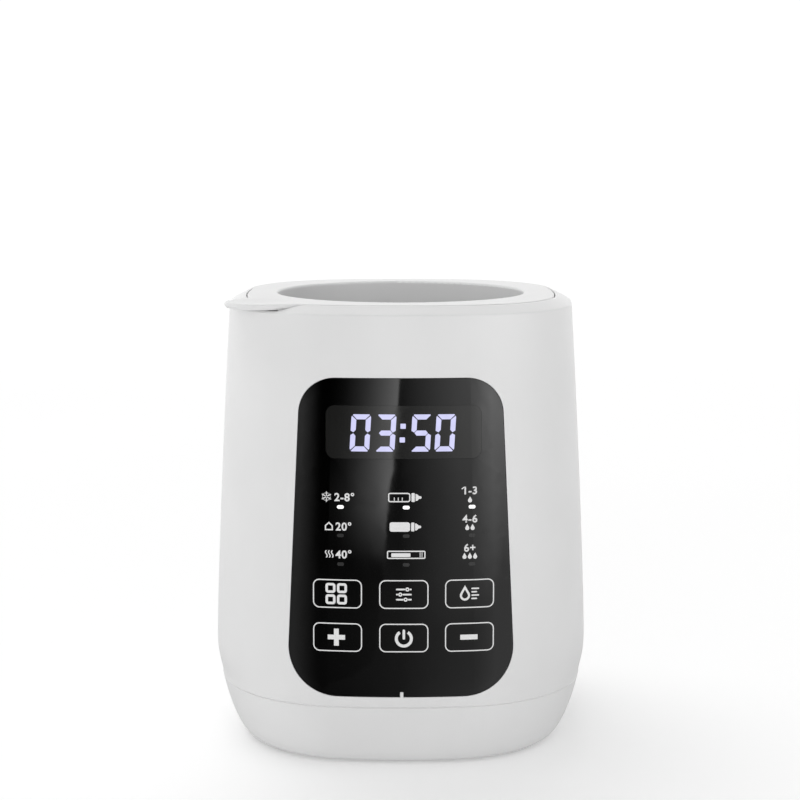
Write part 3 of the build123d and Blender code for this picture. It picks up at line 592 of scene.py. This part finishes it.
def milk_bag(drawing, x, z, length):
    """A flat bag on its side with a zip line at its mouth."""
    drawing.line(offset(round_box(x, z, length, 2.8, 0.5), -0.2), 0.4)
    for reach in (0.36, 0.41):
        drawing.fill(bar((x + length * reach, z - 0.8), (x + length * reach, z + 0.8), 0.24, 3))
    drawing.fill(round_box(x - length * 0.14, z - 0.1, length * 0.5, 1.3, 0.3))


def drop_outline(x, z, height):
    """A drop: a round belly under a point."""
    radius = height * 0.33
    low = z - height / 2 + radius
    return arc(x, low, radius, 180 - 28, 360 + 28, 14) + [(x, z + height / 2)]


def flag_one(drawing, x, top):
    """The slanted stroke at the head of a numeral one."""
    drawing.fill(bar((x - 0.75, top - 0.72), (x, top - 0.2), 0.38, 3))


def print_labels(drawing):
    """Column one the milk's start, column two what holds it, column three how much."""
    left, middle, right = LAMP_X
    snowflake(drawing, left - 4.7, LABEL_Z[0], 1.65)
    drawing.numbers("2-8°", left + 1.4, LABEL_Z[0], LABEL_CAP)
    house(drawing, left - 3.9, LABEL_Z[1])
    drawing.numbers("20°", left + 1.1, LABEL_Z[1], LABEL_CAP)
    heat_waves(drawing, left - 3.8, LABEL_Z[2])
    drawing.numbers("40°", left + 1.1, LABEL_Z[2], LABEL_CAP)
    lying_bottle(drawing, middle, LABEL_Z[0], 12.2, False)
    lying_bottle(drawing, middle, LABEL_Z[1], 11.2, True)
    milk_bag(drawing, middle, LABEL_Z[2], 13.0)
    flag_one(drawing, right - 2.65, AMOUNT_Z[0] + AMOUNT_CAP / 2)
    centre = right - 0.7
    for count, amount in enumerate(("1-3", "4-6", "6+")):
        drawing.numbers(amount, centre, AMOUNT_Z[count], AMOUNT_CAP)
        for drop in range(count + 1):
            across = centre + DROP_PITCH * (drop - count / 2)
            drawing.fill(drop_outline(across, DROP_Z[count], DROP_HEIGHT))


def print_key_icons(drawing):
    left, middle, right = KEY_X
    high, low = KEY_Z
    four_squares(drawing, left - 0.4, high)
    sliders(drawing, middle, high)
    drop_and_scale(drawing, right, high)
    plus_sign(drawing, left - 0.4, low)
    power_ring(drawing, middle, low - 0.2)
    drawing.fill(round_box(right - 0.2, low, 5.9, 1.75, 0.12, 2))


def four_squares(drawing, x, z):
    reach, size = 1.95, 2.55
    for side_x in (-1, 1):
        for side_z in (-1, 1):
            drawing.line(round_box(x + side_x * reach, z + side_z * reach, size, size, 0.5, 4), 0.85)


def sliders(drawing, x, z):
    """Three level tracks, each with a knob."""
    reach, clear, pitch = 2.4, 1.0, 1.75
    for step, knob in enumerate((1.2, -1.2, 0.6)):
        level = z + pitch - pitch * step
        drawing.fill(bar((x - reach, level), (x + knob - clear, level), 0.55, 4))
        drawing.fill(bar((x + knob + clear, level), (x + reach, level), 0.55, 4))
        drawing.line(arc(x + knob, level, 0.48, 0, 337.5, 15), 0.42)


def drop_and_scale(drawing, x, z):
    """A drop beside four marks of a scale."""
    drawing.line(drop_outline(x - 1.6, z + 0.1, 4.2), 0.7)
    for step, reach in enumerate((1.5, 2.2, 1.5, 2.2)):
        level = z - 1.7 + 1.15 * step
        drawing.fill(bar((x + 0.8, level), (x + 0.8 + reach, level), 0.5, 4))


def plus_sign(drawing, x, z):
    arm, thick = 2.95, 0.82
    half = [(arm, -thick), (arm, thick), (thick, thick), (thick, arm), (-thick, arm), (-thick, thick)]
    other = [(-px, -pz) for px, pz in half]
    drawing.fill([(x + px, z + pz) for px, pz in half + other])


def power_ring(drawing, x, z):
    """A ring open at the top round an upright stroke."""
    outer = arc(x, z, 3.05, -238, 58, 40)
    inner = arc(x, z, 2.05, 58, -238, 40)
    drawing.fill(outer + inner)
    drawing.fill(bar((x, z + 0.1), (x, z + 2.75), 0.86, 5))


def make_print(surface, material):
    labels = Drawing()
    print_labels(labels)
    labels.lay("label_print", surface, PRINT_LIFT, material)
    icons = Drawing()
    print_key_icons(icons)
    icons.lay("key_icons", surface, PRINT_LIFT, material)
    frames = Drawing()
    for x in KEY_X:
        for z in KEY_Z:
            frames.line(round_box(x, z, *KEY_SIZE, FRAME_RADIUS, 8), FRAME_LINE)
    frames.lay("key_frames", surface, PRINT_LIFT, material)


# ---------------------------------------------------------------- studio
FLOOR_RADIUS = 2.5
FLOOR_FADE = (0.7, 2.3)  # the floor fades out between these distances
FLOOR_GLOW = 0.17


def make_floor():
    """A pale disc that fades into the white round it."""
    mesh = bpy.data.meshes.new("floor")
    disc = bmesh.new()
    bmesh.ops.create_circle(disc, cap_ends=True, radius=FLOOR_RADIUS, segments=96)
    disc.to_mesh(mesh)
    disc.free()
    floor = bpy.data.objects.new("floor", mesh)
    bpy.context.scene.collection.objects.link(floor)
    floor.location.z = cad_box[0].z
    material, tree, shader = new_material("floor_pale")
    shader.inputs["Roughness"].default_value = 0.9
    shader.inputs["Specular IOR Level"].default_value = 0.0
    clouds = noise(tree, 2.0, 1)
    tree.links.new(ramp(tree, clouds, (0.92, 0.92, 0.92), (0.93, 0.93, 0.93)), shader.inputs["Base Color"])
    place = tree.nodes.new("ShaderNodeTexCoord")
    reach = tree.nodes.new("ShaderNodeVectorMath")
    reach.operation = "LENGTH"
    fade = tree.nodes.new("ShaderNodeMapRange")
    fade.interpolation_type = "SMOOTHSTEP"
    fade.inputs["From Min"].default_value = FLOOR_FADE[0]
    fade.inputs["From Max"].default_value = FLOOR_FADE[1]
    fade.inputs["To Min"].default_value = 1.0
    fade.inputs["To Max"].default_value = 0.0
    tree.links.new(place.outputs["Object"], reach.inputs[0])
    tree.links.new(reach.outputs["Value"], fade.inputs["Value"])
    tree.links.new(fade.outputs["Result"], shader.inputs["Alpha"])
    shader.inputs["Emission Color"].default_value = (1, 1, 1, 1)
    shader.inputs["Emission Strength"].default_value = FLOOR_GLOW
    mesh.materials.append(material)
    floor.visible_glossy = False


class WorldNodes:
    """The world's node tree, with short calls for sums of its directions."""

    def __init__(self, world):
        world.use_nodes = True
        self.tree = world.node_tree
        self.tree.nodes.clear()
        place = self.tree.nodes.new("ShaderNodeTexCoord")
        parts = self.tree.nodes.new("ShaderNodeSeparateXYZ")
        self.link(place.outputs["Generated"], parts.inputs["Vector"])
        self.x, self.y, self.z = parts.outputs

    def link(self, source, target):
        self.tree.links.new(source, target)

    def math(self, operation, first, second):
        node = self.tree.nodes.new("ShaderNodeMath")
        node.operation = operation
        for index, value in enumerate((first, second)):
            if isinstance(value, (int, float)):
                node.inputs[index].default_value = value
            else:
                self.link(value, node.inputs[index])
        return node.outputs[0]

    def times(self, first, second):
        return self.math("MULTIPLY", first, second)

    def plus(self, first, second):
        return self.math("ADD", first, second)

    def graded(self, value, low, high, at_low, at_high, way="SMOOTHSTEP"):
        """A number that runs from at_low to at_high as the value runs from low to high."""
        node = self.tree.nodes.new("ShaderNodeMapRange")
        node.interpolation_type = way
        node.inputs["From Min"].default_value = low
        node.inputs["From Max"].default_value = high
        node.inputs["To Min"].default_value = at_low
        node.inputs["To Max"].default_value = at_high
        self.link(value, node.inputs["Value"])
        return node.outputs["Result"]

    def white(self, strength):
        """An even white background of a fixed or graded strength."""
        node = self.tree.nodes.new("ShaderNodeBackground")
        node.inputs["Color"].default_value = (1, 1, 1, 1)
        if isinstance(strength, (int, float)):
            node.inputs["Strength"].default_value = strength
        else:
            self.link(strength, node.inputs["Strength"])
        return node.outputs["Background"]

    def choose(self, question, otherwise, answer):
        """One background for the rays that answer a question, another for the rest."""
        node = self.tree.nodes.new("ShaderNodeMixShader")
        self.link(question, node.inputs["Fac"])
        self.link(otherwise, node.inputs[1])
        self.link(answer, node.inputs[2])
        return node.outputs["Shader"]


BOX_SLANT = 0.47  # how far the soft box's edge leans to the side as it rises
BOX_EDGE = (0.0028, 0.0052)  # the narrow span across its sharp edge
BOX_REACH = -0.30  # where its light starts to grow towards that edge
BOX_GROWTH = 2.7  # exponent of that growth
BOX_LIGHT = 2.7


def front_reflection(nodes):
    """What gloss sees in front of the object: a slanted soft box, and a glow on each side and below."""
    graded, times, plus = nodes.graded, nodes.times, nodes.plus
    ahead = nodes.math("MAXIMUM", times(nodes.y, -1), 0.02)
    across = nodes.math("DIVIDE", nodes.x, ahead)
    rise = nodes.math("DIVIDE", nodes.z, ahead)
    slanted = nodes.math("SUBTRACT", across, times(rise, BOX_SLANT))
    growth = nodes.math("POWER", graded(slanted, BOX_REACH, 0.004, 0, 1, "LINEAR"), BOX_GROWTH)
    box = times(growth, graded(slanted, *BOX_EDGE, BOX_LIGHT, 0))
    box = times(box, graded(rise, -0.155, -0.085, 0, 1))
    beyond = graded(slanted, *BOX_EDGE, 0, 1)
    right_glow = times(graded(across, 0.0, 0.7, 0.15, 3.1, "LINEAR"), beyond)
    right_glow = times(right_glow, graded(rise, -0.21, -0.03, 0.2, 1, "LINEAR"))
    left_glow = times(graded(across, -1.1, -0.42, 0.75, 0), graded(rise, -0.25, -0.02, 0.45, 1))
    low_glow = times(graded(across, -0.4, 0.2, 0.05, 0.22), graded(rise, -0.22, -0.08, 1, 0))
    return plus(plus(box, right_glow), plus(left_glow, low_glow))


def gloss_light(nodes):
    """What gloss sees all round: the front's reflections, a bright rear and a faint sky."""
    facing = nodes.graded(nodes.y, -0.42, 0.05, 1, 0)
    behind = nodes.math("SUBTRACT", 1, facing)
    rear = nodes.times(behind, nodes.graded(nodes.z, -0.45, 0.05, 0.45, 1.3))
    level = nodes.plus(nodes.times(front_reflection(nodes), facing), rear)
    sky = nodes.graded(nodes.z, 0.30, 0.80, 0.0, 0.3)
    return nodes.math("MAXIMUM", level, sky)


def soft_light(nodes):
    """What lights matt surfaces: strongest low down and a touch stronger from the left."""
    to_left = nodes.graded(nodes.x, -0.9, 0.9, 1.04, 0.96, "LINEAR")
    return nodes.times(nodes.graded(nodes.z, 0.0, 0.65, 1.05, 0.58), to_left)


SEEN_WHITE = 1.05  # the background that the camera sees


def make_world():
    """White round the scene, graded apart for gloss, for matt surfaces and for the camera."""
    world = bpy.data.worlds.new("studio")
    bpy.context.scene.world = world
    nodes = WorldNodes(world)
    for_gloss = nodes.white(gloss_light(nodes))
    for_rest = nodes.white(soft_light(nodes))
    rays = nodes.tree.nodes.new("ShaderNodeLightPath")
    lit = nodes.choose(rays.outputs["Is Glossy Ray"], for_rest, for_gloss)
    shown = nodes.choose(rays.outputs["Is Camera Ray"], lit, nodes.white(SEEN_WHITE))
    output = nodes.tree.nodes.new("ShaderNodeOutputWorld")
    nodes.link(shown, output.inputs["Surface"])


def make_sun(name, source, strength, spread):
    """A soft distant light that comes from one direction, alike all over the floor."""
    data = bpy.data.lights.new(name, "SUN")
    data.energy = strength
    data.angle = math.radians(spread)
    sun = bpy.data.objects.new(name, data)
    bpy.context.scene.collection.objects.link(sun)
    sun.rotation_euler = Vector(source).to_track_quat("Z", "Y").to_euler()
    sun.visible_glossy = False


def make_lights():
    make_sun("overhead_back", (-0.30, 0.40, 1.0), 0.85, 50)
    make_sun("front_left", (-0.35, -1.0, 0.08), 0.46, 40)


CAMERA_AT = (-0.0003, -0.6528, 0.2167)
CAMERA_TILT = 8.47  # degrees below level
CAMERA_LENS = 80.15


def make_camera():
    data = bpy.data.cameras.new("camera")
    data.lens = CAMERA_LENS
    data.sensor_width = 36.0
    data.clip_start = 0.02
    data.clip_end = 20.0
    camera = bpy.data.objects.new("camera", data)
    bpy.context.scene.collection.objects.link(camera)
    camera.location = CAMERA_AT
    camera.rotation_euler = (math.radians(90 - CAMERA_TILT), 0, 0)
    bpy.context.scene.camera = camera


# ---------------------------------------------------------------- making
make_camera()
make_world()
make_lights()
make_floor()
finishes = make_materials()
dress_nodes(finishes)
front = Front("control_panel", "display_window")
window_low, window_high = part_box("display_window")
display_z = (window_low.z + window_high.z) / 2 / MM
make_digits(front, glow("digit_glow", (0.66, 0.66, 0.96), 1.0), display_z - DIGIT_DROP)
make_lamp_marks(front, glow("lamp_lit", (1.0, 1.0, 1.0), 1.3), ink("lamp_unlit", (0.02, 0.02, 0.02)))
make_print(front, ink("print_white", (0.80, 0.80, 0.80)))
bpy.context.scene.view_settings.view_transform = "Standard"
